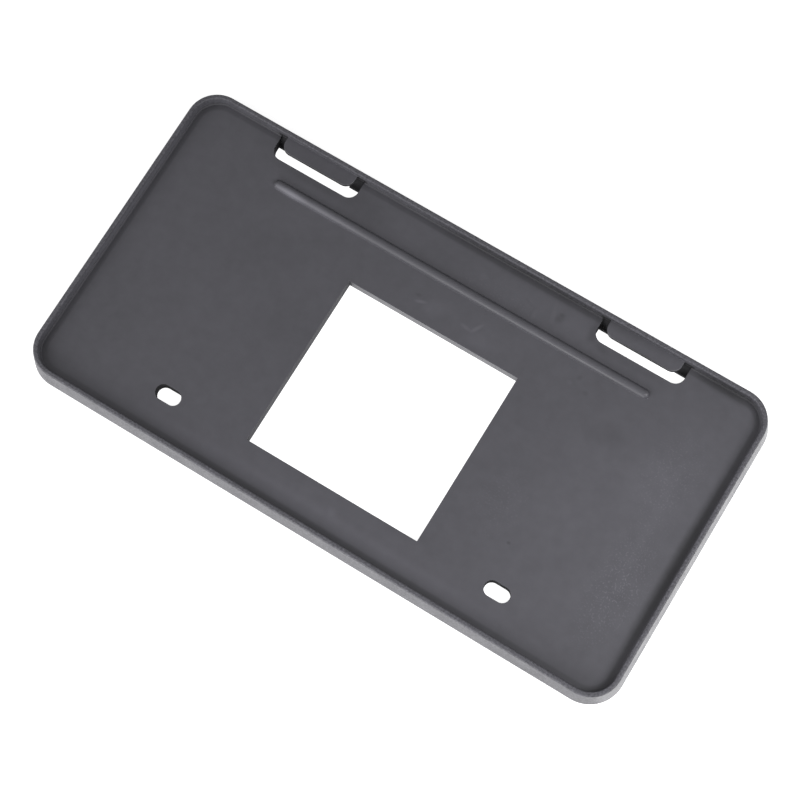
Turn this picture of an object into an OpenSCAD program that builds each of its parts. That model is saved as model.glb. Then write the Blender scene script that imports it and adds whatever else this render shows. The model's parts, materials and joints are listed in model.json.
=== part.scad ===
// Number plate holder: one injection moulding. A tray with a raised rim takes the plate,
// two clip tabs at its top edge hold the plate down, and two bolts go through the slots.
// The back is a shell: skirt, flanges round the cut-outs, bosses and stiffening ribs.
// X runs along the plate, Y runs up it, and Z comes out of its face. Sizes are in mm.
// The origin is the middle of the holder's outline, on the plane of its back.

/* [Plate] */
// Length of the number plate that the tray takes
plate_l = 304.8; // [280:0.1:330]
// Height of the number plate
plate_w = 152.4; // [140:0.1:170]
// Gap all round between the plate and the rim
plate_gap = 1.5; // [0.5:0.1:3]

/* [Rim and skirt] */
// Thickness of the rim at its top
rim_t = 2.3; // [1.8:0.1:3.5]
// Height of the rim above the floor
rim_h = 6; // [5:0.1:9]
// How far the outer wall runs out from the rim's top to the foot of the skirt
rim_flare = 2; // [0.5:0.1:4]
// Outer corner radius at the rim's top
corner_r = 15; // [10:0.5:24]
// Rounding of the rim's outer top edge
outer_edge_r = 0.9; // [0.3:0.1:1.1]
// Rounding of the rim's inner top edge
inner_edge_r = 0.7; // [0.2:0.1:0.9]
// Fillet where the rim's inner wall meets the floor
floor_fillet_r = 0.8; // [0.3:0.1:1.5]
// Thickness of the skirt, below the rim
skirt_t = 2.4; // [1.6:0.1:3.2]

/* [Floor] */
// Height of the floor's face above the back
floor_z = 7; // [5:0.1:12]
// Thickness of the floor
floor_t = 2.8; // [2:0.1:4]

/* [Window] */
// Width of the window
window_w = 92; // [60:0.5:120]
// Height of the window
window_h = 89.4; // [60:0.1:92]
// Width of the strip of floor below the window
window_strip = 20.4; // [14:0.1:28]

/* [Bolt slots] */
// Distance between the two bolt slots
slot_spacing = 177.8; // [160:0.1:200]
// Length of a bolt slot from end to end
slot_l = 13; // [9:0.1:20]
// Width of a bolt slot
slot_w = 7.6; // [5:0.1:8.5]
// Height of the bolt slots above the plate's lower edge
slot_up = 17.9; // [14:0.1:24]

/* [Clip tabs] */
// Distance between the middles of the two tabs
tab_spacing = 177.8; // [140:0.1:200]
// Width of a tab
tab_w = 39.3; // [20:0.1:50]
// Reach of a tab over the plate, from the rim's inner wall
tab_reach = 7.5; // [6:0.1:9.5]
// Thickness of a tab
tab_t = 1.9; // [1.6:0.1:2.8]
// Rounding of a tab's free edges
tab_edge_r = 0.6; // [0.3:0.1:0.7]
// Corner radius of a tab
tab_corner_r = 5; // [3:0.1:6]
// Step from the rim's top down to a tab
tab_drop = 2.8; // [0.5:0.1:3.2]

/* [Tab openings] */
// Gap in the floor beside a tab, at each end
opening_end_gap = 3.6; // [2:0.1:6]
// Gap in the floor past a tab's free edge
opening_front_gap = 3.5; // [1:0.1:4]
// Corner radius of an opening
opening_corner_r = 5; // [3:0.1:7]
// Reach at its foot of the sloped gusset at each end of an opening
gusset_in = 4.1; // [2:0.1:5]
// How far a gusset runs in under the end of its tab
gusset_under = 3.2; // [1:0.1:6]

/* [Bead] */
// Length of the raised bead that the plate bears on
bead_l = 205; // [120:1:240]
// Width of the bead at the floor
bead_w = 5; // [4:0.1:7]
// Height of the bead above the floor
bead_h = 2.1; // [1:0.1:2.4]
// Distance of the bead's middle from the rim's inner top wall
bead_in = 22; // [18:0.1:26]

/* [Back] */
// Thickness of the flanges round the window and the tab openings
flange_t = 2.4; // [1.6:0.1:3.2]
// Wall round a bolt slot
boss_t = 2.8; // [2:0.1:4]
// Thickness of a stiffening rib
rib_t = 1.8; // [1.2:0.1:2.4]
// Gap from the ribs down to the plane of the back
rib_gap = 1.2; // [0.5:0.1:2.5]
// Distance between the two ribs above the window
top_rib_spacing = 27; // [12:1:60]

/* [Hidden] */
$fn = 96;
lap = 0.6;
recess_l = plate_l + 2 * plate_gap;
recess_w = plate_w + 2 * plate_gap;
top_l = recess_l + 2 * rim_t;
top_w = recess_w + 2 * rim_t;
corner_x = top_l / 2 - corner_r;
corner_y = top_w / 2 - corner_r;
total_h = floor_z + rim_h;
skirt_z = floor_z - floor_t;
draft = atan(rim_flare / total_h);
window_y = -recess_w / 2 + window_strip + window_h / 2;
slot_y = -plate_w / 2 + slot_up;
bead_y = recess_w / 2 - bead_in;
bead_r = (bead_w * bead_w / 4 + bead_h * bead_h) / (2 * bead_h);
tab_z = total_h - tab_drop - tab_t;
opening_w = tab_w + 2 * opening_end_gap;
opening_y = recess_w / 2 - tab_reach - opening_front_gap;
opening_d = recess_w / 2 - opening_y;
hole_z = -1;
hole_h = floor_z + bead_h;

// Outline point on the outer wall at height z, as a distance from the corner's centre
function wall_u(z) = corner_r + rim_flare * (1 - z / total_h);

// Corner cut off a right-angled section, which leaves a quarter round of radius r
module edge_round(r) {
    difference() {
        square(r);
        circle(r);
    }
}

// What is cut off the drafted outer wall to round its top edge
module outer_edge_cut() {
    u = corner_r - outer_edge_r * (1 - sin(draft)) / cos(draft);
    z = total_h - outer_edge_r;
    difference() {
        polygon([
            [u, z],
            [u, total_h + lap],
            [corner_r + lap, total_h + lap],
            [u + lap * cos(draft) + outer_edge_r * cos(draft), z + outer_edge_r * sin(draft)]
        ]);
        translate([u, z]) circle(outer_edge_r);
    }
}

// Section through the rim, the edge of the floor and the skirt, from the corner's centre out
module rim_section() {
    inner_u = corner_r - rim_t;
    difference() {
        union() {
            polygon([
                [0, skirt_z],
                [0, floor_z],
                [inner_u, floor_z],
                [inner_u, total_h],
                [corner_r, total_h],
                [wall_u(0), 0],
                [wall_u(0) - skirt_t, 0],
                [wall_u(skirt_z) - skirt_t, skirt_z]
            ]);
            translate([inner_u, floor_z]) mirror([1, 0])
                translate([floor_fillet_r, floor_fillet_r]) rotate(180) edge_round(floor_fillet_r);
        }
        outer_edge_cut();
        translate([inner_u + inner_edge_r, total_h - inner_edge_r]) mirror([1, 0])
            edge_round(inner_edge_r);
    }
}

// One straight stretch of the rim section, of the length given, centred on the origin
module straight_run(length) {
    rotate([90, 0, 0]) translate([0, 0, -length / 2]) linear_extrude(length) children();
}

// The section carried round the outline: four corners and four straight sides
module rim_and_skirt() {
    for (q = [0:3]) {
        sx = (q == 0 || q == 3) ? 1 : -1;
        sy = (q < 2) ? 1 : -1;
        translate([sx * corner_x, sy * corner_y, 0]) rotate(90 * q)
            rotate_extrude(angle = 90) rim_section();
    }
    for (s = [0, 180]) rotate(s) {
        translate([corner_x, 0, 0]) straight_run(2 * corner_y) rim_section();
        rotate(90) translate([corner_y, 0, 0]) straight_run(2 * corner_x) rim_section();
    }
}

module floor_slab() {
    translate([-corner_x - lap, -corner_y - lap, skirt_z])
        cube([2 * (corner_x + lap), 2 * (corner_y + lap), floor_t]);
}

// Half-round bead with domed ends, sunk to the middle of the floor's thickness
module bead() {
    run = bead_l / 2 - bead_w / 2;
    translate([0, bead_y, floor_z]) intersection() {
        translate([0, 0, bead_h - bead_r]) {
            rotate([0, 90, 0]) cylinder(h = 2 * run, r = bead_r, center = true);
            for (s = [-1, 1]) translate([s * run, 0, 0]) sphere(bead_r);
        }
        translate([-bead_l / 2, -bead_w, -floor_t / 2]) cube([bead_l, 2 * bead_w, floor_t / 2 + bead_h]);
    }
}

// Round-ended slot outline
module slot_outline(length, width) {
    for (s = [-1, 1]) translate([s * (length - width) / 2, 0]) circle(width / 2);
    square([length - width, width], center = true);
}

// Outline with rounded corners on its lower side, from y = 0 up to the height given
module pocket_outline(width, height, r) {
    for (s = [-1, 1]) translate([s * (width / 2 - r), r]) circle(r);
    translate([-width / 2 + r, 0]) square([width - 2 * r, height]);
    translate([-width / 2, r]) square([width, height - r]);
}

// Rounded free edge of a tab, in section, with the inner side of the rounding at x = 0
module tab_edge() {
    translate([0, tab_edge_r]) circle(tab_edge_r);
    translate([0, tab_t - tab_edge_r]) circle(tab_edge_r);
    translate([0, tab_edge_r]) square([tab_edge_r, tab_t - 2 * tab_edge_r]);
}

// A tab: a flat tongue off the rim with rounded free edges
module tab() {
    reach = tab_reach - tab_edge_r;
    half = tab_w / 2 - tab_edge_r;
    bend = tab_corner_r - tab_edge_r;
    root = inner_edge_r + lap;
    side_run = reach + root - bend;
    translate([0, -reach, 0]) {
        linear_extrude(tab_t) pocket_outline(2 * half, reach + root, bend);
        rotate(-90) straight_run(2 * (half - bend)) tab_edge();
        for (s = [-1, 1]) {
            translate([s * half, bend + side_run / 2, 0]) rotate(s > 0 ? 0 : 180)
                straight_run(side_run) tab_edge();
            translate([s * (half - bend), bend, 0]) rotate(s > 0 ? -90 : 180)
                rotate_extrude(angle = 90) translate([bend, 0]) tab_edge();
        }
    }
}

// Wall that closes the rim's foot behind an opening, with a sloped gusset at each end
module opening_back() {
    foot = wall_u(0) - skirt_t / 2 + corner_y - recess_w / 2;
    side = (opening_w + flange_t) / 2;
    gusset_x = tab_w / 2 - gusset_under;
    translate([0, recess_w / 2, 0]) rotate([90, 0, 90]) {
        translate([0, 0, -side]) linear_extrude(2 * side)
            polygon([[0, 0], [0, floor_z], [rim_t / 2, floor_z], [foot, 0]]);
        for (x = [-side, gusset_x]) translate([0, 0, x])
            linear_extrude(side - gusset_x) polygon([[-gusset_in, 0], [0, floor_z], [foot, 0]]);
    }
}

module rib(length) {
    translate([0, -rib_t / 2, rib_gap]) cube([length, rib_t, skirt_z + lap - rib_gap]);
}

// Walls on the back, from the underside of the floor to the plane of the back
module back_walls() {
    wall_h = skirt_z + lap;
    inner_x = recess_l / 2;
    flange_x = window_w / 2 + flange_t / 2;
    translate([-flange_x - flange_t / 2, window_y - window_h / 2 - flange_t, 0])
        cube([window_w + 2 * flange_t, window_h + 2 * flange_t, wall_h]);
    for (s = [-1, 1]) {
        translate([s * slot_spacing / 2, slot_y, 0])
            linear_extrude(wall_h) slot_outline(slot_l + 2 * boss_t, slot_w + 2 * boss_t);
        translate([s * tab_spacing / 2, opening_y - flange_t, 0]) linear_extrude(wall_h)
            pocket_outline(opening_w + 2 * flange_t, opening_d + flange_t + rim_t / 2, opening_corner_r + flange_t);
        translate([s * slot_spacing / 2, slot_y, 0]) rotate(90)
            rib(opening_y - slot_y);
        translate([s * slot_spacing / 2, slot_y, 0]) rotate(-90)
            rib(slot_y + recess_w / 2 + rim_t / 2);
        translate([s * flange_x, window_y, 0]) rotate(s > 0 ? 0 : 180)
            rib(inner_x - flange_x + rim_t / 2);
        translate([s * top_rib_spacing / 2, window_y + window_h / 2 + flange_t / 2, 0]) rotate(90)
            rib(recess_w / 2 - window_y - window_h / 2 + rim_t / 2 - flange_t / 2);
    }
    translate([0, window_y - window_h / 2 - flange_t / 2, 0]) rotate(-90)
        rib(window_strip + rim_t / 2 - flange_t / 2);
}

// Everything that goes right through the floor
module cut_outs() {
    translate([0, 0, hole_z]) {
        translate([-window_w / 2, window_y - window_h / 2, 0]) cube([window_w, window_h, hole_h - hole_z]);
        for (s = [-1, 1]) {
            translate([s * slot_spacing / 2, slot_y, 0])
                linear_extrude(hole_h - hole_z) slot_outline(slot_l, slot_w);
            translate([s * tab_spacing / 2, opening_y, 0])
                linear_extrude(floor_z + rim_h / 2 - hole_z) pocket_outline(opening_w, opening_d, opening_corner_r);
        }
    }
}

module plate_holder() {
    color([0.3, 0.3, 0.32]) {
        difference() {
            union() {
                rim_and_skirt();
                floor_slab();
                back_walls();
                bead();
            }
            cut_outs();
        }
        for (s = [-1, 1]) translate([s * tab_spacing / 2, 0, 0]) {
            translate([0, recess_w / 2, tab_z]) tab();
            opening_back();
        }
    }
}

plate_holder();
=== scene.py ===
"""Dresses the moulded number plate holder and lights it in a plain white studio."""
import json
import logging
import math
from collections.abc import Callable
from dataclasses import dataclass, field
from enum import Enum
from functools import cached_property, reduce

import bmesh
import bpy
from mathutils import Matrix, Vector


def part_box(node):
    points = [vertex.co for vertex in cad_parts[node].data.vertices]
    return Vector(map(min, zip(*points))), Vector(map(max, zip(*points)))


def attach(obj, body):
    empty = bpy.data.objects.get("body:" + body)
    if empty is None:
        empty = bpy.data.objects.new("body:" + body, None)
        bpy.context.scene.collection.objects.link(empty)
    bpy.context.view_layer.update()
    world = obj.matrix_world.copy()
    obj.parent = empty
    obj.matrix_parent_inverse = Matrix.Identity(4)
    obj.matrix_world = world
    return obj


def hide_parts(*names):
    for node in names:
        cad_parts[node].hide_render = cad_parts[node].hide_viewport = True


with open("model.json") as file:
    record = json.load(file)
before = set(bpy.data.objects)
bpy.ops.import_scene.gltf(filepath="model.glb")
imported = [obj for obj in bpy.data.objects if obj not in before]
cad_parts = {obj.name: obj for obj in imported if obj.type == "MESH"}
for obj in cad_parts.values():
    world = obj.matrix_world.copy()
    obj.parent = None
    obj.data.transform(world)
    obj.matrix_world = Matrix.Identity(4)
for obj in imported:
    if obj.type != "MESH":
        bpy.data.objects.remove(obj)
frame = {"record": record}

LOG = logging.getLogger("number_plate_holder")
MM = 0.001
# Below this two places are taken as one
NEAR = 0.0005 * MM
# Raw noise strays about a quarter from its middle
NOISE_SPREAD = 4.0
# Faces round a quarter of a round end
ROUND_END_STEPS = 14
HOLDER_NODE = "plate_holder"
Socket = bpy.types.NodeSocket
# A value at which something is 0, and one at which it is 1
Step = tuple[float, float]
# Both are reached from a mark's middle, where its edge is 1
OVAL_EDGE: Step = (1.0, 0.15)
OBLONG_EDGE: Step = (1.09, 1.03)


@dataclass(frozen=True)
class Mark:
    """One mark seen from above, in millimetres; its strength is below 0 where it darkens."""

    x: float
    y: float
    half_length: float
    half_width: float
    strength: float
    turn: float = 0.0


# Broad, faint changes of tone over the floor, with painted light that lightens the right side and the
# strip along the lower rim; the patches towards the left are darker
TONE_AND_PAINTED_LIGHT = (
    Mark(112, -8, 66, 80, 0.13),
    Mark(134, 34, 30, 44, 0.08),
    Mark(-140, -36, 44, 40, -0.10),
    Mark(-62, -4, 34, 36, -0.06),
    Mark(10, -67, 160, 11, 0.16),
    Mark(48, 68, 52, 11, 0.06),
    Mark(18, 68, 24, 12, 0.04),
    Mark(56, 66, 13, 9, 0.07),
    Mark(124, 18, 20, 24, 0.12),
    Mark(133, -4, 56, 3.5, 0.07, turn=92),
    Mark(94, 29, 14, 9, -0.15, turn=20),
    Mark(-66, 66, 34, 10, -0.14, turn=-8),
    Mark(-60, 42, 34, 14, -0.05, turn=-25),
    Mark(-96, 22, 34, 16, -0.04, turn=30),
    Mark(-90, 72, 66, 12, -0.12),
    Mark(-20, -66, 40, 5, 0.07),
    Mark(5.6, -65.8, 3.4, 3.0, 0.16),
    Mark(7.5, 66.5, 3.4, 2.8, 0.12),
    Mark(28, 41, 26, 13, 0.07),
)
# Small scratches and spots, most of them between the bead and the window, and a painted highlight on the
# bead's right end
SCRATCHES_AND_GLINT = (
    Mark(-11.8, 40.7, 4.2, 1.3, 0.40, turn=20),
    Mark(-14.2, 43.0, 2.4, 1.6, -0.18, turn=10),
    Mark(-4.0, 41.0, 10.0, 6.5, 0.15, turn=35),
    Mark(13.0, 40.7, 4.4, 1.4, 0.26, turn=-8),
    Mark(17.6, 43.0, 4.8, 1.5, 0.36, turn=60),
    Mark(21.0, 38.0, 8.0, 5.5, 0.15, turn=10),
    Mark(44.6, 67.5, 6.5, 1.8, 0.13, turn=-72),
    Mark(33.0, 66.0, 5.0, 1.2, -0.10, turn=-22),
    Mark(37.0, 62.0, 4.6, 1.8, 0.12, turn=94),
    Mark(48.3, 67.2, 4.2, 3.0, -0.25, turn=80),
    Mark(48.2, 69.0, 1.8, 1.3, -0.14),
    Mark(70.5, 47.0, 2.2, 1.6, -0.15, turn=60),
    Mark(76.5, 42.0, 2.2, 1.6, -0.12),
    Mark(67.6, 42.8, 2.0, 1.8, 0.12),
    Mark(82.0, -36.5, 1.5, 1.2, -0.32),
    # Painted highlight on the bead's right end
    Mark(101.4, 55.3, 1.8, 1.5, 0.25),
)
# Painted highlights and painted shade in strips along the bead, the rim's foot, the tabs and the tab
# openings
PAINTED_LIGHT_AND_SHADE = (
    Mark(-78, 54.2, 34, 2.3, 0.40),
    Mark(-93, 54.4, 12, 2.3, 0.80),
    Mark(-154, 10, 84, 1.5, 0.42, turn=90),
    Mark(0, -71, 168, 6.5, 0.44),
    Mark(0, -76.4, 168, 3.0, -0.28),
    Mark(151.4, -10, 84, 4.2, -0.52, turn=90),
    Mark(30, 76.9, 96, 4.6, -0.34),
    Mark(34, 78, 100, 1.6, -0.22),
    Mark(132, 77.2, 26, 5.2, -0.56),
    Mark(65.2, 69.5, 8, 3.6, -0.30, turn=92),
    Mark(71, 64.8, 9, 3.0, -0.16, turn=-22),
    Mark(89, 70.4, 22, 0.8, -0.55),
    Mark(-89, 70.4, 22, 0.8, -0.35),
    Mark(90, 64.9, 28, 3.2, -0.10),
    Mark(-89, 64.9, 30, 3.2, -0.16),
)
# The bolt slots, the tab openings and the window's left wall, whose walls get painted shade
SHADED_WALLS = (
    Mark(-88.9, -58.3, 6.5, 3.8, 0.84),
    Mark(88.9, -58.3, 6.5, 3.8, 0.84),
    Mark(-88.9, 72.2, 23.3, 5.6, 0.74),
    Mark(88.9, 72.2, 23.3, 5.6, 0.74),
    Mark(-46, -11.9, 1.2, 46, 0.45),
)
# Patches that are rubbed in fine specks
RUBBED = (
    Mark(134, -28, 17, 44, 0.60),
    Mark(130, 26, 20, 34, 0.36),
    Mark(70, -22, 18, 24, 0.22),
    Mark(20, 60, 40, 14, 0.16),
)


class NodeSheet:
    """Adds and joins the nodes of one material."""

    def __init__(self, name: str) -> None:
        """Starts an empty node material.

        Args:
            name: Name of the new material.
        """
        self.material = bpy.data.materials.new(name)
        self.material.use_nodes = True
        self.tree = self.material.node_tree
        self.tree.nodes.clear()

    def add(self, kind: str, **settings: object) -> bpy.types.Node:
        """Adds a node.

        Args:
            kind: Blender's name for the kind of node, without its ShaderNode prefix.
            **settings: Attributes of the node to set, such as operation="ADD".

        Returns:
            The new node.
        """
        node = self.tree.nodes.new("ShaderNode" + kind)
        for key, value in settings.items():
            setattr(node, key, value)
        return node

    def join(self, source: Socket, target: Socket) -> None:
        """Links an output socket to an input socket."""
        self.tree.links.new(source, target)

    def maths(self, operation: str, first: object, second: object) -> Socket:
        """Adds a Math node.

        Args:
            operation: The node's operation, such as "MULTIPLY".
            first: A socket or a number for the first input.
            second: A socket or a number for the second input.

        Returns:
            The node's output socket.
        """
        node = self.add("Math", operation=operation)
        for place, value in enumerate((first, second)):
            if isinstance(value, Socket):
                self.join(value, node.inputs[place])
            else:
                node.inputs[place].default_value = value
        return node.outputs[0]

    def plus(self, *values: object) -> Socket:
        """Adds up sockets and numbers."""
        return reduce(lambda first, second: self.maths("ADD", first, second), values)

    def times(self, *values: object) -> Socket:
        """Multiplies sockets and numbers."""
        return reduce(lambda first, second: self.maths("MULTIPLY", first, second), values)

    def left_over(self, value: Socket) -> Socket:
        """Works out 1 less a value."""
        return self.maths("SUBTRACT", 1.0, value)

    def vector_maths(self, operation: str, source: Socket) -> bpy.types.Node:
        """Adds a Vector Math node.

        Args:
            operation: The node's operation, such as "LENGTH".
            source: The socket that it reads.

        Returns:
            The new node.
        """
        node = self.add("VectorMath", operation=operation)
        self.join(source, node.inputs[0])
        return node

    def axes(self, place: Socket) -> tuple[Socket, ...]:
        """Splits coordinates into X, Y and Z.

        Args:
            place: Coordinates to read.

        Returns:
            The three sockets.
        """
        split = self.add("SeparateXYZ")
        self.join(place, split.inputs[0])
        return tuple(split.outputs)

    def fade(self, value: Socket, step: Step, base: float = 0.0) -> Socket:
        """Turns a value into a soft step from 0 to 1.

        Args:
            value: The socket to read.
            step: Where the result is 0 and where it is 1.
            base: What these two are counted from.

        Returns:
            The stepped value.
        """
        start, end = step
        node = self.add("MapRange", interpolation_type="SMOOTHSTEP")
        self.join(value, node.inputs["Value"])
        node.inputs["From Min"].default_value = base + min(start, end)
        node.inputs["From Max"].default_value = base + max(start, end)
        node.inputs["To Min"].default_value = 0.0 if start < end else 1.0
        node.inputs["To Max"].default_value = 1.0 if start < end else 0.0
        return node.outputs["Result"]

    def noise(self, place: Socket, size: float, detail: float) -> Socket:
        """Adds noise whose clouds are about one size across.

        Args:
            place: Coordinates to read.
            size: Size of the clouds.
            detail: How many finer layers are added.

        Returns:
            The noise, about 0.5 on average.
        """
        node = self.add("TexNoise")
        node.inputs["Scale"].default_value = 1 / size
        node.inputs["Detail"].default_value = detail
        self.join(place, node.inputs["Vector"])
        return node.outputs["Fac"]

    def swing(self, place: Socket, size: float, detail: float, amount: float) -> Socket:
        """Adds noise that swings about 0.

        Args:
            place: Coordinates to read.
            size: Size of the clouds.
            detail: How many finer layers are added.
            amount: How far it goes up and down.

        Returns:
            The noise.
        """
        return self.times(self.plus(self.noise(place, size, detail), -0.5), NOISE_SPREAD * amount)

    def stencil(self, place: Socket, mark: Mark) -> Socket:
        """Lays coordinates over a mark that reach 1 at its edges.

        Args:
            place: Coordinates to read.
            mark: The mark.

        Returns:
            The mark's own coordinates.
        """
        node = self.add("Mapping", vector_type="TEXTURE")
        node.inputs["Location"].default_value = (mark.x * MM, mark.y * MM, 0)
        node.inputs["Rotation"].default_value = (0, 0, math.radians(mark.turn))
        node.inputs["Scale"].default_value = (mark.half_length * MM, mark.half_width * MM, 1)
        self.join(place, node.inputs["Vector"])
        return node.outputs["Vector"]

    def oval(self, place: Socket, mark: Mark) -> Socket:
        """Draws a mark as an oval that fades out towards its edge.

        Args:
            place: Coordinates to read.
            mark: The mark.

        Returns:
            The mark's strength in its middle and 0 outside it.
        """
        reach = self.vector_maths("LENGTH", self.stencil(place, mark))
        return self.times(self.fade(reach.outputs["Value"], OVAL_EDGE), mark.strength)

    def oblong(self, place: Socket, mark: Mark) -> Socket:
        """Draws a mark as a rectangle with a crisp edge just outside its sizes.

        Args:
            place: Coordinates to read.
            mark: The mark.

        Returns:
            The mark's strength inside the rectangle and 0 outside it.
        """
        folded = self.vector_maths("ABSOLUTE", self.stencil(place, mark))
        along, across, _ = self.axes(folded.outputs[0])
        return self.times(self.fade(self.maths("MAXIMUM", along, across), OBLONG_EDGE), mark.strength)


@dataclass(frozen=True)
class Surface:
    """What every part of the plastic's material reads."""

    sheet: NodeSheet
    sizes: "HolderSizes"
    place: Socket

    @cached_property
    def height(self) -> Socket:
        """Height over the back."""
        return self.sheet.axes(self.place)[2]

    @cached_property
    def wall(self) -> Socket:
        """Works out how far a point lies outside the rounded outline of the recess.

        Returns:
            The distance, below 0 over the floor.
        """
        sheet, sizes = self.sheet, self.sizes
        corner = sizes.corner_r - sizes.rim_t
        past = sheet.vector_maths("SUBTRACT", sheet.vector_maths("ABSOLUTE", self.place).outputs[0])
        past.inputs[1].default_value = (sizes.recess_x - corner, sizes.recess_y - corner, 1)
        outside = sheet.vector_maths("MAXIMUM", past.outputs[0])
        reach = sheet.vector_maths("LENGTH", outside.outputs[0]).outputs["Value"]
        along, across, _ = sheet.axes(past.outputs[0])
        inside = sheet.maths("MINIMUM", sheet.maths("MAXIMUM", along, across), 0.0)
        return sheet.plus(reach, inside, -corner)


@dataclass(frozen=True)
class MouldedPlastic:
    """Dark grey moulded plastic: flow clouds, fine grain, scratches, a gritty rim and worn edges, with
    painted light and shade over the floor, along the rim's foot, on the bead and in the cut-outs.
    """

    name: str = "moulded_plastic"
    colour: tuple[float, float, float] = (0.0885, 0.0868, 0.1003)
    roughness: float = 0.45
    ior: float = 1.5
    flow: float = 0.05
    flow_size: float = 30 * MM
    cloud: float = 0.07
    cloud_size: float = 5 * MM
    sheen_change: float = 0.06
    sheen_size: float = 10 * MM
    speck_size: float = 0.9 * MM
    speck_step: Step = (0.54, 0.70)
    grit: float = 0.45
    grit_size: float = 1.0 * MM
    grain_size: float = 0.35 * MM
    grain_depth: float = 0.012 * MM
    rim_grain: float = 11.0
    # Specks of wear along the rim's top, with painted highlight that makes them strongest where the rim
    # faces down and to the right
    wear: float = 0.34
    wear_size: float = 0.65 * MM
    wear_step: Step = (0.48, 0.68)
    glint_facing: Step = (-1.6, 0.8)
    # Painted shade along the foot of the rim's inner wall, and the duller fillet there
    foot_shade: float = 0.25
    crease_shade: float = 0.10
    corner_dull: float = 0.25
    deep_dull: float = 0.60
    # Steps by distance outside the outline of the recess
    rim_step: Step = (-0.4 * MM, 0.3 * MM)
    strip_step: Step = (-3.9 * MM, -2.5 * MM)
    crease_step: Step = (-1.6 * MM, -0.3 * MM)
    corner_step: Step = (-1.2 * MM, -0.4 * MM)
    inner_step: Step = (0.6 * MM, 0.1 * MM)
    # Steps by height, counted from the floor
    upper_step: Step = (-1.0 * MM, -0.3 * MM)
    foot_step: Step = (2.0 * MM, 0.4 * MM)
    cut_step: Step = (-0.05 * MM, -0.2 * MM)
    tab_foot_step: Step = (0.2 * MM, 0.5 * MM)
    # Steps by height, the first two from the rim's top, then from a tab's top and from the back
    rim_top_step: Step = (-0.6 * MM, -0.1 * MM)
    below_top_step: Step = (-0.5 * MM, -1.6 * MM)
    tab_top_step: Step = (-0.1 * MM, -0.35 * MM)
    back_step: Step = (0.2 * MM, 1.6 * MM)

    def make(self, sizes: "HolderSizes") -> bpy.types.Material:
        """Builds the finish as a node material.

        Args:
            sizes: Sizes of the moulding, for what follows its rim and floor.

        Returns:
            The material.
        """
        sheet = NodeSheet(self.name)
        output = sheet.add("OutputMaterial")
        shader = sheet.add("BsdfPrincipled")
        shader.inputs["IOR"].default_value = self.ior
        sheet.join(shader.outputs["BSDF"], output.inputs["Surface"])
        place = sheet.add("TexCoord").outputs["Object"]
        surface = Surface(sheet, sizes, place)
        rim = sheet.fade(surface.wall, self.rim_step)
        deep = self.shaded_walls(surface)

        # The floor's marks and the rim's specks carry painted light and shade besides the plastic's own
        # tone
        shade = sheet.plus(
            1.0,
            sheet.swing(place, self.flow_size, 3.0, self.flow),
            sheet.swing(place, self.cloud_size, 4.0, self.cloud),
            self.floor_marks(surface),
            sheet.times(sheet.swing(place, self.grit_size, 1.0, self.grit), rim),
            self.rim_wear_and_glints(surface),
        )
        # Painted shade along the foot of the rim's inner wall and on the walls of the cut-outs
        shade = sheet.times(shade, sheet.left_over(self.foot(surface)), sheet.left_over(deep))
        tint = sheet.add("VectorMath", operation="SCALE")
        tint.inputs[0].default_value = self.colour
        sheet.join(shade, tint.inputs["Scale"])
        sheet.join(tint.outputs[0], shader.inputs["Base Color"])

        corner = sheet.times(
            sheet.fade(surface.wall, self.corner_step),
            sheet.fade(surface.wall, self.inner_step),
            self.corner_dull,
        )
        dull = sheet.swing(place, self.sheen_size, 3.0, self.sheen_change)
        dull = sheet.plus(dull, self.roughness, corner, sheet.times(deep, self.deep_dull))
        sheet.join(dull, shader.inputs["Roughness"])
        sheet.join(self.grain(surface, rim), shader.inputs["Normal"])
        return sheet.material

    def upper_side(self, surface: Surface) -> Socket:
        """Finds what lies at the floor's upper face or over it."""
        return surface.sheet.fade(surface.height, self.upper_step, surface.sizes.floor_z)

    def floor_marks(self, surface: Surface) -> Socket:
        """Adds up the tone, the painted light and shade, the scratches and the rubbed specks of the
        floor's upper face.

        Args:
            surface: What the material reads.

        Returns:
            What the marks add to the shade.
        """
        sheet, sizes = surface.sheet, surface.sizes
        specks = sheet.fade(sheet.noise(surface.place, self.speck_size, 3.0), self.speck_step)
        plain = [sheet.oval(surface.place, mark) for mark in TONE_AND_PAINTED_LIGHT + SCRATCHES_AND_GLINT + PAINTED_LIGHT_AND_SHADE]
        rubbed = [sheet.times(sheet.oval(surface.place, mark), specks) for mark in RUBBED]
        under = sheet.fade(surface.height, self.below_top_step, sizes.high.z)
        return sheet.times(sheet.plus(*plain, *rubbed), self.upper_side(surface), under)

    def shaded_walls(self, surface: Surface) -> Socket:
        """Finds the walls of the cut-outs and the cut edges of the tabs, which get painted shade.

        Args:
            surface: What the material reads.

        Returns:
            How deep the painted shade is, 0 in the open.
        """
        sheet, sizes, height = surface.sheet, surface.sizes, surface.height
        total = sheet.plus(*(sheet.oblong(surface.place, mark) for mark in SHADED_WALLS))
        under = sheet.times(
            sheet.fade(height, self.cut_step, sizes.floor_z), sheet.fade(height, self.back_step))
        tab_edge = sheet.times(
            sheet.fade(height, self.tab_foot_step, sizes.floor_z),
            sheet.fade(height, self.tab_top_step, sizes.high.z - sizes.tab_drop),
        )
        return sheet.times(total, sheet.plus(under, tab_edge))

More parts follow.
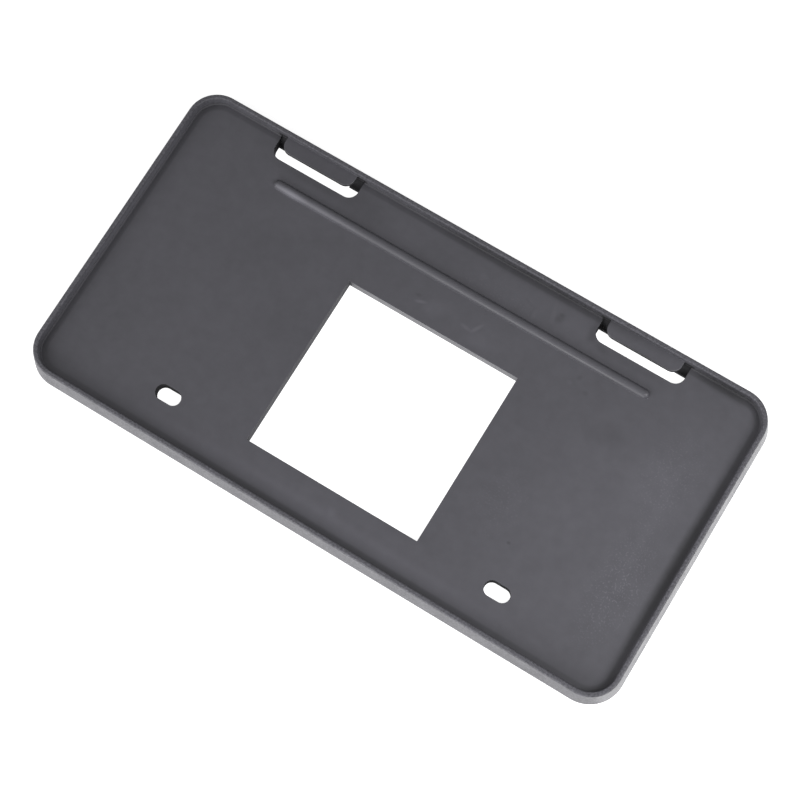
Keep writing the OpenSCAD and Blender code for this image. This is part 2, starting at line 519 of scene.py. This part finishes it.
    def rim_wear_and_glints(self, surface: Surface) -> Socket:
        """Works out the specks of wear along the rim's top, with painted highlight that makes them
        strongest where the rim faces down and to the right.

        Args:
            surface: What the material reads.

        Returns:
            What it adds to the shade.
        """
        sheet, sizes = surface.sheet, surface.sizes
        along, across, _ = sheet.axes(surface.place)
        facing = sheet.maths(
            "SUBTRACT", sheet.times(along, 1 / sizes.high.x), sheet.times(across, 1 / sizes.high.y))
        return sheet.times(
            sheet.fade(sheet.noise(surface.place, self.wear_size, 3.0), self.wear_step),
            sheet.fade(facing, self.glint_facing),
            sheet.fade(surface.height, self.rim_top_step, sizes.high.z),
            self.wear,
        )

    def foot(self, surface: Surface) -> Socket:
        """Works out the painted shade in a strip that runs along the foot of the rim's inner wall.

        Args:
            surface: What the material reads.

        Returns:
            The share of the shade that the strip takes away.
        """
        sheet, wall = surface.sheet, surface.wall
        strip = sheet.times(sheet.fade(wall, self.strip_step), self.foot_shade)
        crease = sheet.times(sheet.fade(wall, self.crease_step), self.crease_shade)
        low = sheet.fade(surface.height, self.foot_step, surface.sizes.floor_z)
        inner = sheet.fade(wall, self.inner_step)
        return sheet.times(sheet.plus(strip, crease), inner, low, self.upper_side(surface))

    def grain(self, surface: Surface, rim: Socket) -> Socket:
        """Raises the fine grain, which is coarser on the rim.

        Args:
            surface: What the material reads.
            rim: 1 in the rim and 0 over the floor.

        Returns:
            The bumped normal.
        """
        sheet = surface.sheet
        fine = sheet.noise(surface.place, self.grain_size, 2.0)
        coarse = sheet.times(sheet.noise(surface.place, self.grit_size, 2.0), rim, self.rim_grain)
        bump = sheet.add("Bump")
        bump.inputs["Distance"].default_value = self.grain_depth
        sheet.join(sheet.plus(fine, coarse), bump.inputs["Height"])
        return bump.outputs["Normal"]


class Cut(Enum):
    """What one solid does to another."""

    ADD = "UNION"
    TAKE = "DIFFERENCE"


class Side(Enum):
    """The two mirrored halves of the holder."""

    LEFT = -1
    RIGHT = 1


def mount(name: str) -> dict:
    """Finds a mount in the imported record.

    Args:
        name: The mount's name.

    Returns:
        The mount's entry.
    """
    return next(entry for entry in frame["record"]["mounts"] if entry["name"] == name)


@dataclass(frozen=True)
class HolderSizes:
    """Sizes of the moulding: the outside and the slots come from the frame."""

    rim_t: float = 2.3 * MM
    rim_flare: float = 2.0 * MM
    corner_r: float = 15.0 * MM
    outer_edge_r: float = 0.9 * MM
    inner_edge_r: float = 0.7 * MM
    floor_fillet_r: float = 0.8 * MM
    skirt_t: float = 2.4 * MM
    floor_t: float = 2.8 * MM
    window_w: float = 92.0 * MM
    window_h: float = 89.4 * MM
    window_strip: float = 20.4 * MM
    tab_spacing: float = 177.8 * MM
    tab_w: float = 39.3 * MM
    tab_reach: float = 7.5 * MM
    tab_t: float = 1.9 * MM
    tab_edge_r: float = 0.6 * MM
    tab_corner_r: float = 5.0 * MM
    tab_drop: float = 2.8 * MM
    opening_end_gap: float = 3.6 * MM
    opening_front_gap: float = 3.5 * MM
    opening_corner_r: float = 5.0 * MM
    gusset_in: float = 4.1 * MM
    gusset_under: float = 3.2 * MM
    bead_l: float = 205.0 * MM
    bead_w: float = 5.0 * MM
    bead_h: float = 2.1 * MM
    bead_in: float = 22.0 * MM
    flange_t: float = 2.4 * MM
    boss_t: float = 2.8 * MM
    rib_t: float = 1.8 * MM
    rib_gap: float = 1.2 * MM
    top_rib_spacing: float = 27.0 * MM
    lap: float = 0.6 * MM
    high: Vector = field(default_factory=lambda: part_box(HOLDER_NODE)[1])
    floor_z: float = field(default_factory=lambda: mount("plate_seat")["pos_m"][2])
    slot_y: float = field(default_factory=lambda: mount("plate_bolts")["pos_m"][1])
    slot_spacing: float = field(default_factory=lambda: mount("plate_bolts")["dims"]["spacing_x_mm"] * MM)
    slot_l: float = field(default_factory=lambda: mount("plate_bolts")["dims"]["slot_length_mm"] * MM)
    slot_w: float = field(default_factory=lambda: mount("plate_bolts")["dims"]["hole_r_mm"] * 2 * MM)

    @property
    def recess_x(self) -> float:
        """Half the length of the recess for the plate."""
        return self.high.x - self.rim_flare - self.rim_t

    @property
    def recess_y(self) -> float:
        """Half the width of the recess for the plate."""
        return self.high.y - self.rim_flare - self.rim_t

    @property
    def skirt_z(self) -> float:
        """Height of the floor's underside."""
        return self.floor_z - self.floor_t

    @property
    def window_y(self) -> float:
        """Middle of the window."""
        return -self.recess_y + self.window_strip + self.window_h / 2

    @property
    def bead_y(self) -> float:
        """Middle line of the bead."""
        return self.recess_y - self.bead_in

    @property
    def opening_w(self) -> float:
        """Width of the opening behind a tab."""
        return self.tab_w + 2 * self.opening_end_gap

    @property
    def opening_y(self) -> float:
        """Lower edge of the openings."""
        return self.recess_y - self.tab_reach - self.opening_front_gap

    def flare_at(self, z: float) -> float:
        """How far the drafted outer wall has run in at height z."""
        return self.rim_flare * z / self.high.z


def direction(azimuth: float, elevation: float) -> Vector:
    """Works out the direction towards a lamp or camera.

    Args:
        azimuth: Angle round the holder from its lower edge, in degrees.
        elevation: Angle over the floor, in degrees.

    Returns:
        The direction, one metre long.
    """
    turn, rise = math.radians(azimuth), math.radians(elevation)
    return Vector((math.sin(turn) * math.cos(rise), -math.cos(turn) * math.cos(rise), math.sin(rise)))


def arc(
    centre: tuple[float, float], radius: float, start: float, end: float, steps: int
) -> list[tuple[float, float]]:
    """Works out points along an arc.

    Args:
        centre: Centre of the arc.
        radius: Radius of the arc.
        start: Angle of the first point, in degrees.
        end: Angle of the last point, in degrees.
        steps: Number of steps between the two.

    Returns:
        The points, both ends among them.
    """
    angles = [math.radians(start + (end - start) * step / steps) for step in range(steps + 1)]
    return [(centre[0] + radius * math.cos(a), centre[1] + radius * math.sin(a)) for a in angles]


def is_upright(edge: bmesh.types.BMEdge) -> bool:
    """Says whether an edge runs along Z."""
    one, two = (vert.co for vert in edge.verts)
    return (one - two).xy.length < NEAR


def is_level(edge: bmesh.types.BMEdge) -> bool:
    """Says whether an edge lies level."""
    return abs(edge.verts[0].co.z - edge.verts[1].co.z) < NEAR


def middle(edge: bmesh.types.BMEdge) -> Vector:
    """Middle of an edge."""
    return (edge.verts[0].co + edge.verts[1].co) / 2


def everything(_: object) -> bool:
    """Passes whatever it is given."""
    return True


class Workpiece:
    """One mesh on the bench, shaped with the edit mode operators."""

    def __init__(self, piece: bpy.types.Object) -> None:
        """Takes an object to work on.

        Args:
            piece: The object.
        """
        self.piece = piece

    @classmethod
    def block(
        cls, name: str, low: tuple[float, float, float], high: tuple[float, float, float]
    ) -> "Workpiece":
        """Starts from a block between two corners.

        Args:
            name: Name of the new object.
            low: Lowest corner.
            high: Highest corner.

        Returns:
            The new workpiece.
        """
        bpy.ops.object.select_all(action="DESELECT")
        centre = (Vector(low) + Vector(high)) / 2
        bpy.ops.mesh.primitive_cube_add(size=1, location=centre)
        bpy.context.object.scale = Vector(high) - Vector(low)
        bpy.context.object.name = name
        bpy.ops.object.transform_apply(location=True, rotation=True, scale=True)
        return cls(bpy.context.object)

    def take_up(self) -> None:
        """Makes this the only selected object."""
        if bpy.context.object and bpy.context.object.mode != "OBJECT":
            bpy.ops.object.mode_set(mode="OBJECT")
        bpy.ops.object.select_all(action="DESELECT")
        self.piece.select_set(True)
        bpy.context.view_layer.objects.active = self.piece

    def put_down(self) -> None:
        """Leaves edit mode."""
        bpy.ops.object.mode_set(mode="OBJECT")

    def pick(self, kind: str, test: Callable[[object], bool] = everything) -> None:
        """Selects the vertices, edges or faces that pass a test, in edit mode.

        Args:
            kind: "verts", "edges" or "faces".
            test: Says whether one of them is selected.
        """
        self.take_up()
        bpy.ops.object.mode_set(mode="EDIT")
        bpy.ops.mesh.select_mode(type={"verts": "VERT", "edges": "EDGE", "faces": "FACE"}[kind])
        bpy.ops.mesh.select_all(action="DESELECT")
        mesh = bmesh.from_edit_mesh(self.piece.data)
        for item in getattr(mesh, kind):
            if test(item):
                item.select_set(True)
        mesh.select_flush_mode()
        bmesh.update_edit_mesh(self.piece.data)

    def round_uprights(
        self, radius: float, steps: int, test: Callable[[Vector], bool] = everything
    ) -> None:
        """Rounds the upright edges whose middle passes a test.

        Args:
            radius: Radius of the rounding.
            steps: Faces round each corner.
            test: Says whether the edge at a place is rounded.
        """
        self.pick("edges", lambda edge: is_upright(edge) and test(middle(edge)))
        bpy.ops.mesh.bevel(offset=radius, segments=steps, affect="EDGES")
        self.put_down()

    def step_in(self, inward: float, along: float) -> None:
        """Takes the selected face in by one step of a section.

        Args:
            inward: How far its edges move in.
            along: How far it moves along its normal.
        """
        bpy.ops.mesh.inset(thickness=max(inward, NEAR), depth=along, use_even_offset=True)

    def combine(self, how: Cut, tool: "Workpiece") -> None:
        """Adds another solid to this one or takes it away.

        Args:
            how: Whether the tool is added or taken away.
            tool: The other solid, which is used up.
        """
        self.take_up()
        bool_mod = self.piece.modifiers.new(how.name, "BOOLEAN")
        bool_mod.operation = how.value
        bool_mod.solver = "EXACT"
        bool_mod.object = tool.piece
        bpy.ops.object.modifier_apply(modifier=bool_mod.name)
        bpy.data.objects.remove(tool.piece)


@dataclass
class Tray:
    """Floor, rim and skirt, stepped out of one rounded outline."""

    sizes: HolderSizes
    corner_steps: int = 20
    outer_edge_steps: int = 5
    inner_edge_steps: int = 4
    fillet_steps: int = 4

    def build(self) -> Workpiece:
        """Models the tray.

        Returns:
            The closed tray, with no cut-outs yet.
        """
        tray = self.outline()
        for inward, up in self.rim_steps():
            tray.step_in(inward, up)
        self.close_back(tray)
        return tray

    def outline(self) -> Workpiece:
        """Lays the rounded outline of the skirt's foot and selects its face.

        Returns:
            The outline, one face in edit mode.
        """
        s = self.sizes
        bpy.ops.object.select_all(action="DESELECT")
        bpy.ops.mesh.primitive_plane_add(size=2)
        bpy.context.object.name = "holder_moulding"
        bpy.context.object.scale = (s.high.x, s.high.y, 1)
        bpy.ops.object.transform_apply(scale=True)
        tray = Workpiece(bpy.context.object)
        tray.pick("verts")
        bpy.ops.mesh.bevel(offset=s.corner_r + s.rim_flare, segments=self.corner_steps, affect="VERTICES")
        tray.pick("faces")
        return tray

    def rim_steps(self) -> list[tuple[float, float]]:
        """Works out the steps from the foot up the outer wall, over the rim and down to the floor.

        Returns:
            How far each step goes inward and up.
        """
        s = self.sizes
        lean = math.atan(s.rim_flare / s.high.z)
        outer_z = s.high.z - s.outer_edge_r
        outer_in = s.rim_flare + s.outer_edge_r * (1 - math.sin(lean)) / math.cos(lean)
        rim_in = s.rim_flare + s.rim_t
        points = [(0.0, 0.0)]
        points += arc(
            (outer_in, outer_z), s.outer_edge_r, 180 - math.degrees(lean), 90, self.outer_edge_steps)
        inner = (rim_in - s.inner_edge_r, s.high.z - s.inner_edge_r)
        points += arc(inner, s.inner_edge_r, 90, 0, self.inner_edge_steps)
        fillet = (rim_in + s.floor_fillet_r, s.floor_z + s.floor_fillet_r)
        points += arc(fillet, s.floor_fillet_r, 180, 270, self.fillet_steps)
        return [(b[0] - a[0], b[1] - a[1]) for a, b in zip(points, points[1:])]

    def close_back(self, tray: Workpiece) -> None:
        """Closes the back with the skirt's foot, its inner wall and the floor's underside.

        Args:
            tray: The tray, still open at its back.
        """
        s = self.sizes
        tray.pick("edges", lambda edge: edge.is_boundary)
        bpy.ops.mesh.edge_face_add()
        tray.pick("faces", lambda face: abs(face.calc_center_median().z) < NEAR)
        bpy.ops.mesh.normals_make_consistent(inside=False)
        tray.pick("faces", lambda face: all(abs(vert.co.z) < NEAR for vert in face.verts))
        tray.step_in(s.skirt_t, 0.0)
        tray.step_in(s.flare_at(s.skirt_z), -s.skirt_z)
        bpy.ops.mesh.select_all(action="SELECT")
        bpy.ops.mesh.normals_make_consistent(inside=False)
        tray.put_down()


@dataclass
class BackWalls:
    """Flanges, bosses and ribs that stiffen the moulding from behind."""

    sizes: HolderSizes
    corner_steps: int = 10

    def build(self) -> list[Workpiece]:
        """Models the walls, each as a solid that reaches into the floor.

        Returns:
            The solids to add to the tray.
        """
        return [self.window_flange(), *self.bosses(), *self.opening_flanges(), *self.ribs()]

    @property
    def top(self) -> float:
        """Height up to which the walls reach into the floor."""
        return self.sizes.skirt_z + self.sizes.lap

    @property
    def skirt_x(self) -> float:
        """Middle of the skirt's thickness at its foot, at the ends."""
        return self.sizes.high.x - self.sizes.skirt_t / 2

    @property
    def skirt_y(self) -> float:
        """Middle of the skirt's thickness at its foot, along the sides."""
        return self.sizes.high.y - self.sizes.skirt_t / 2

    def window_flange(self) -> Workpiece:
        """Models the flange round the window.

        Returns:
            The flange, still without its window.
        """
        s = self.sizes
        half_x = s.window_w / 2 + s.flange_t
        half_y = s.window_h / 2 + s.flange_t
        return Workpiece.block(
            "window_flange", (-half_x, s.window_y - half_y, 0), (half_x, s.window_y + half_y, self.top))

    def bosses(self) -> list[Workpiece]:
        """Models the round-ended bosses of the bolt slots.

        Returns:
            The left and the right boss.
        """
        s = self.sizes
        return [
            round_ended(
                "slot_boss", side.value * s.slot_spacing / 2, s.slot_y,
                s.slot_l + 2 * s.boss_t, s.slot_w + 2 * s.boss_t, 0, self.top)
            for side in Side
        ]

    def opening_flanges(self) -> list[Workpiece]:
        """Models the solid pads that the tab openings are cut from.

        Returns:
            The left and the right pad.
        """
        s = self.sizes
        pads = []
        for side in Side:
            x = side.value * s.tab_spacing / 2
            half = s.opening_w / 2 + s.flange_t
            front = s.opening_y - s.flange_t
            pad = Workpiece.block(
                "opening_flange", (x - half, front, 0), (x + half, self.skirt_y, self.top))
            pad.round_uprights(
                s.opening_corner_r + s.flange_t, self.corner_steps, lambda place: place.y < s.opening_y)
            pads.append(pad)
        return pads

    def ribs(self) -> list[Workpiece]:
        """Models the ribs, which stop a little short of the back.

        Returns:
            The seven ribs.
        """
        s = self.sizes
        ribs = []
        flange_x = s.window_w / 2 + s.flange_t / 2
        window_top = s.window_y + s.window_h / 2 + s.flange_t / 2
        window_foot = s.window_y - s.window_h / 2 - s.flange_t / 2
        for side in Side:
            x = side.value * s.slot_spacing / 2
            ribs.append(self.rib((x, -self.skirt_y), (x, s.opening_y)))
            near, far = side.value * flange_x, side.value * self.skirt_x
            ribs.append(self.rib((near, s.window_y), (far, s.window_y)))
            x = side.value * s.top_rib_spacing / 2
            ribs.append(self.rib((x, window_top), (x, self.skirt_y)))
        ribs.append(self.rib((0, -self.skirt_y), (0, window_foot)))
        return ribs

    def rib(self, start: tuple[float, float], end: tuple[float, float]) -> Workpiece:
        """Models one rib.

        Args:
            start: Where its middle line starts.
            end: Where its middle line ends.

        Returns:
            The rib.
        """
        half = self.sizes.rib_t / 2
        along_x = abs(end[0] - start[0]) > abs(end[1] - start[1])
        wide = (0, half) if along_x else (half, 0)
        low = (min(start[0], end[0]) - wide[0], min(start[1], end[1]) - wide[1], self.sizes.rib_gap)
        high = (max(start[0], end[0]) + wide[0], max(start[1], end[1]) + wide[1], self.top)
        return Workpiece.block("rib", low, high)


def round_ended(
    name: str, x: float, y: float, length: float, width: float, bottom: float, top: float
) -> Workpiece:
    """Models an upright block with round ends.

    Args:
        name: Name of the new object.
        x: Middle of the block.
        y: Middle of the block.
        length: Length along X over the round ends.
        width: Width along Y.
        bottom: Height of its lower face.
        top: Height of its upper face.

    Returns:
        The block.
    """
    block = Workpiece.block(
        name, (x - length / 2, y - width / 2, bottom), (x + length / 2, y + width / 2, top))
    block.round_uprights(width / 2 - NEAR, ROUND_END_STEPS)
    return block


@dataclass
class CutOuts:
    """Everything that goes right through the floor."""

    sizes: HolderSizes
    corner_steps: int = 10
    over: float = 2.0 * MM

    def build(self) -> list[Workpiece]:
        """Models the tools that cut the window, the bolt slots and the tab openings.

        Returns:
            The solids to take away.
        """
        s = self.sizes
        top = s.floor_z + self.over
        low_y, high_y = s.window_y - s.window_h / 2, s.window_y + s.window_h / 2
        tools = [Workpiece.block(
            "window_tool", (-s.window_w / 2, low_y, -self.over), (s.window_w / 2, high_y, top))]
        for side in Side:
            slot_x = side.value * s.slot_spacing / 2
            tools.append(round_ended("slot_tool", slot_x, s.slot_y, s.slot_l, s.slot_w, -self.over, top))
            tab_x = side.value * s.tab_spacing / 2
            half = s.opening_w / 2
            opening = Workpiece.block(
                "opening_tool", (tab_x - half, s.opening_y, -self.over), (tab_x + half, s.recess_y, top))
            opening.round_uprights(
                s.opening_corner_r, self.corner_steps, lambda place: place.y < s.recess_y - NEAR)
            tools.append(opening)
        return tools


@dataclass
class ClipTab:
    """A tab over its opening, with the sloped gussets in the end gaps."""

    sizes: HolderSizes
    side: Side
    corner_steps: int = 10
    edge_steps: int = 4

    def build(self) -> list[Workpiece]:
        """Models the tab and its two gussets.

        Returns:
            The solids to add to the moulding.
        """
        return [self.tongue(), self.gusset(-1), self.gusset(1)]

    def tongue(self) -> Workpiece:
        """Models the tongue with its rounded free edges.

        Returns:
            The tongue, which reaches into the rim.
        """
        s = self.sizes
        x = self.side.value * s.tab_spacing / 2
        free_y, root_y = s.recess_y - s.tab_reach, s.recess_y + s.inner_edge_r + s.lap
        top = s.high.z - s.tab_drop
        tongue = Workpiece.block(
            "clip_tab", (x - s.tab_w / 2, free_y, top - s.tab_t), (x + s.tab_w / 2, root_y, top))
        tongue.round_uprights(s.tab_corner_r, self.corner_steps, lambda place: place.y < root_y - NEAR)
        tongue.pick("edges", lambda edge: is_level(edge) and middle(edge).y < root_y - NEAR)
        bpy.ops.mesh.bevel(offset=s.tab_edge_r, segments=self.edge_steps, affect="EDGES")
        tongue.put_down()
        return tongue

    def gusset(self, end: int) -> Workpiece:
        """Models the sloped gusset in one end gap.

        Args:
            end: -1 or 1, for the tab's left or right end.

        Returns:
            The gusset.
        """
        s = self.sizes
        x = self.side.value * s.tab_spacing / 2
        under = s.tab_w / 2 - s.gusset_under
        near, far = sorted((x + end * under, x + end * (s.opening_w + s.flange_t) / 2))
        gusset = Workpiece.block("gusset", (near, s.recess_y, 0), (far, s.recess_y + s.lap, s.floor_z))
        gusset.pick("verts", lambda vert: vert.co.z < NEAR and vert.co.y < s.recess_y + NEAR)
        bpy.ops.transform.translate(value=(0, -s.gusset_in, 0))
        gusset.put_down()
        return gusset


@dataclass
class Bead:
    """The half-round bead with domed ends that the plate bears on."""

    sizes: HolderSizes
    dome_segments: int = 40
    dome_rings: int = 20

    def build(self) -> Workpiece:
        """Models the bead from one dome, drawn out and mirrored.

        Returns:
            The bead, which reaches into the floor.
        """
        s = self.sizes
        radius = (s.bead_w ** 2 / 4 + s.bead_h ** 2) / (2 * s.bead_h)
        centre_z = s.floor_z + s.bead_h - radius
        run = s.bead_l / 2 - s.bead_w / 2
        bpy.ops.object.select_all(action="DESELECT")
        bpy.ops.mesh.primitive_uv_sphere_add(
            segments=self.dome_segments, ring_count=self.dome_rings, radius=radius)
        bpy.context.object.name = "bead"
        bead = Workpiece(bpy.context.object)
        bead.pick("verts")
        bpy.ops.mesh.bisect(plane_co=(0, 0, 0), plane_no=(1, 0, 0), clear_inner=True)
        bpy.ops.mesh.select_all(action="SELECT")
        bpy.ops.transform.translate(value=(run, s.bead_y, centre_z))
        bead.pick("edges", lambda edge: edge.is_boundary)
        bpy.ops.mesh.extrude_region_move(TRANSFORM_OT_translate={"value": (-run, 0, 0)})
        bead.put_down()
        mirror = bead.piece.modifiers.new("other_half", "MIRROR")
        bpy.ops.object.modifier_apply(modifier=mirror.name)
        bead.pick("verts")
        buried = s.floor_z - s.floor_t / 2
        bpy.ops.mesh.bisect(plane_co=(0, 0, buried), plane_no=(0, 0, 1), clear_inner=True, use_fill=True)
        bpy.ops.mesh.select_all(action="SELECT")
        bpy.ops.mesh.normals_make_consistent(inside=False)
        bead.put_down()
        return bead


@dataclass
class HolderMoulding:
    """The whole moulding in one piece."""

    sizes: HolderSizes
    body: str = "root"
    slot: str = "moulded_plastic"
    edge_soft: float = 0.2 * MM
    edge_steps: int = 2
    edge_angle: float = math.radians(35)
    merge_gap: float = 0.004 * MM
    flat_angle: float = math.radians(0.2)
    smooth_angle: float = math.radians(32)
    flat_weight: int = 100
    piece: bpy.types.Object | None = field(default=None, init=False)

    def build(self) -> bpy.types.Object:
        """Models the moulding, finishes its edges and ties it to the frame.

        Returns:
            The finished piece.
        """
        body = Tray(self.sizes).build()
        for wall in BackWalls(self.sizes).build():
            body.combine(Cut.ADD, wall)
        body.combine(Cut.ADD, Bead(self.sizes).build())
        for tool in CutOuts(self.sizes).build():
            body.combine(Cut.TAKE, tool)
        for side in Side:
            for part in ClipTab(self.sizes, side).build():
                body.combine(Cut.ADD, part)
        self.clean(body)
        self.soften(body)
        self.piece = body.piece
        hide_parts(HOLDER_NODE)
        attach(self.piece, self.body)
        return self.piece

    def dress(self, finish: bpy.types.Material) -> None:
        """Gives the piece its finish."""
        self.piece.data.materials.clear()
        self.piece.data.materials.append(finish)

    def clean(self, body: Workpiece) -> None:
        """Merges the coplanar faces and stray points that the cuts leave.

        Args:
            body: The moulding.
        """
        body.pick("verts")
        bpy.ops.mesh.remove_doubles(threshold=self.merge_gap)
        bpy.ops.mesh.dissolve_limited(angle_limit=self.flat_angle)
        body.put_down()

    def soften(self, body: Workpiece) -> None:
        """Rounds every sharp edge a little and shades the flats flat.

        Args:
            body: The moulding.
        """
        body.take_up()
        bevel = body.piece.modifiers.new("mould_edge", "BEVEL")
        bevel.width = self.edge_soft
        bevel.segments = self.edge_steps
        bevel.limit_method = "ANGLE"
        bevel.angle_limit = self.edge_angle
        bevel.use_clamp_overlap = False
        bpy.ops.object.modifier_apply(modifier=bevel.name)
        bpy.ops.object.shade_smooth_by_angle(angle=self.smooth_angle)
        weight = body.piece.modifiers.new("flat_faces", "WEIGHTED_NORMAL")
        weight.keep_sharp = True
        weight.weight = self.flat_weight
        bpy.ops.object.modifier_apply(modifier=weight.name)


@dataclass(frozen=True)
class SoftBox:
    """A square soft lamp that looks at the holder from a given direction."""

    name: str
    azimuth: float
    elevation: float
    distance: float
    size: float
    strength: float

    def hang(self, aim: Vector) -> bpy.types.Object:
        """Hangs the lamp.

        Args:
            aim: The point that the lamp faces.

        Returns:
            The lamp object.
        """
        back = direction(self.azimuth, self.elevation)
        light = bpy.data.lights.new(self.name, "AREA")
        light.shape = "SQUARE"
        light.size = self.size
        light.energy = self.strength * self.distance ** 2
        lamp = bpy.data.objects.new(self.name, light)
        bpy.context.scene.collection.objects.link(lamp)
        lamp.location = aim + back * self.distance
        lamp.rotation_mode = "QUATERNION"
        lamp.rotation_quaternion = (-back).to_track_quat("-Z", "Y")
        return lamp


@dataclass
class Studio:
    """White surroundings: floor, sky and soft lamps."""

    floor_size: float = 6.0
    floor_colour: float = 0.8
    floor_glow: float = 0.8
    glow_step: Step = (0.25, 0.9)
    shelter: Mark = Mark(0, 0, 145, 76, 1)
    # A strip beside the right wall that glows brighter in mirror rays only: a painted reflection that
    # lightens the right outer wall
    painted_reflection: Mark = Mark(192, 0, 36, 76, 0.8)
    sky_light: float = 0.1
    lamps: list[SoftBox] = field(default_factory=lambda: [
        SoftBox("front_lamp", 0, 22, 0.65, 0.28, 4.3),
        SoftBox("side_lamp", 90, 42, 0.6, 0.26, 4.8),
        SoftBox("low_left_lamp", 315, 20, 1.2, 0.5, 2.5),
        SoftBox("high_left_lamp", 315, 42, 1.5, 0.62, 1.7),
    ])

    def build(self, aim: Vector) -> None:
        """Sets the floor, the sky and the lamps.

        Args:
            aim: The point that the lamps face.
        """
        bpy.context.scene.view_settings.view_transform = "Standard"
        self.lay_floor()
        self.light_sky()
        for lamp in self.lamps:
            lamp.hang(aim)

    def lay_floor(self) -> bpy.types.Object:
        """Lays the floor, which looks white and still takes the holder's shadow.

        It is pure white far away and below the cut-outs. In mirror rays it is brighter beside the
        right wall, a painted reflection that lightens that wall, and darker below the shaded walls,
        which is painted shade in their walls.

        Returns:
            The floor.
        """
        bpy.ops.object.select_all(action="DESELECT")
        bpy.ops.mesh.primitive_plane_add(size=self.floor_size, location=(0, 0, 0))
        floor = bpy.context.object
        floor.name = "studio_floor"
        sheet = NodeSheet("white_floor")
        output = sheet.add("OutputMaterial")
        paper = sheet.add("BsdfDiffuse")
        paper.inputs["Color"].default_value = (self.floor_colour,) * 3 + (1,)
        glow = sheet.add("Emission")
        rays = sheet.add("LightPath")
        place = sheet.add("TexCoord").outputs["Object"]
        away = sheet.vector_maths("LENGTH", place).outputs["Value"]
        full = sheet.maths("MAXIMUM", sheet.fade(away, self.glow_step), sheet.oblong(place, self.shelter))
        lit = sheet.plus(sheet.times(full, 1 - self.floor_glow), self.floor_glow)
        seen = sheet.times(rays.outputs["Is Camera Ray"], lit)
        mirrored = sheet.maths(
            "MAXIMUM", rays.outputs["Is Glossy Ray"], rays.outputs["Is Transmission Ray"])
        mirrored = sheet.times(mirrored, sheet.plus(sheet.oblong(place, self.painted_reflection), 1.0))
        # Painted shade: below the shaded walls the floor glows less in mirror rays, which darkens their
        # reflections
        for mark in SHADED_WALLS:
            mirrored = sheet.times(mirrored, sheet.left_over(sheet.oblong(place, mark)))
        sheet.join(sheet.maths("MAXIMUM", seen, mirrored), glow.inputs["Strength"])
        both = sheet.add("AddShader")
        sheet.join(paper.outputs[0], both.inputs[0])
        sheet.join(glow.outputs[0], both.inputs[1])
        sheet.join(both.outputs[0], output.inputs["Surface"])
        floor.data.materials.append(sheet.material)
        return floor

    def light_sky(self) -> None:
        """Gives the world a plain pale light that the camera sees as white."""
        world = bpy.data.worlds.new("white_studio")
        bpy.context.scene.world = world
        world.use_nodes = True
        tree = world.node_tree
        tree.nodes.clear()
        output = tree.nodes.new("ShaderNodeOutputWorld")
        sky = tree.nodes.new("ShaderNodeBackground")
        rays = tree.nodes.new("ShaderNodeLightPath")
        strength = tree.nodes.new("ShaderNodeMapRange")
        tree.links.new(rays.outputs["Is Diffuse Ray"], strength.inputs["Value"])
        strength.inputs["To Min"].default_value = 1.0
        strength.inputs["To Max"].default_value = self.sky_light
        tree.links.new(strength.outputs["Result"], sky.inputs["Strength"])
        tree.links.new(sky.outputs["Background"], output.inputs["Surface"])


@dataclass(frozen=True)
class PhotoCamera:
    """Camera that stands where the photograph was taken from."""

    aim: tuple[float, float, float] = (4.807 * MM, -4.856 * MM, 7.0 * MM)
    azimuth: float = 39.351
    elevation: float = 75.359
    distance: float = 919.45 * MM
    roll: float = -8.073
    lens: float = 89.46
    far_clip: float = 20.0

    def stand(self) -> bpy.types.Object:
        """Stands the camera up and makes it the scene's camera.

        Returns:
            The camera object.
        """
        back = direction(self.azimuth, self.elevation)
        camera = bpy.data.objects.new("photo_camera", bpy.data.cameras.new("photo_camera"))
        bpy.context.scene.collection.objects.link(camera)
        camera.data.lens = self.lens
        camera.data.clip_end = self.far_clip
        facing = (-back).to_track_quat("-Z", "Y").to_matrix().to_4x4()
        spin = Matrix.Rotation(math.radians(self.roll), 4, "Z")
        camera.matrix_world = Matrix.Translation(Vector(self.aim) + back * self.distance) @ facing @ spin
        bpy.context.scene.camera = camera
        return camera


def main() -> None:
    """Builds the holder, the studio and the camera."""
    logging.basicConfig(level=logging.INFO, format="%(name)s: %(message)s")
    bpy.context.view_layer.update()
    camera = PhotoCamera()
    camera.stand()
    holder = HolderMoulding(HolderSizes())
    piece = holder.build()
    holder.dress(MouldedPlastic().make(holder.sizes))
    LOG.info("%s: %d faces", piece.name, len(piece.data.polygons))
    Studio().build(Vector(camera.aim))


if __name__ == "__main__":
    main()
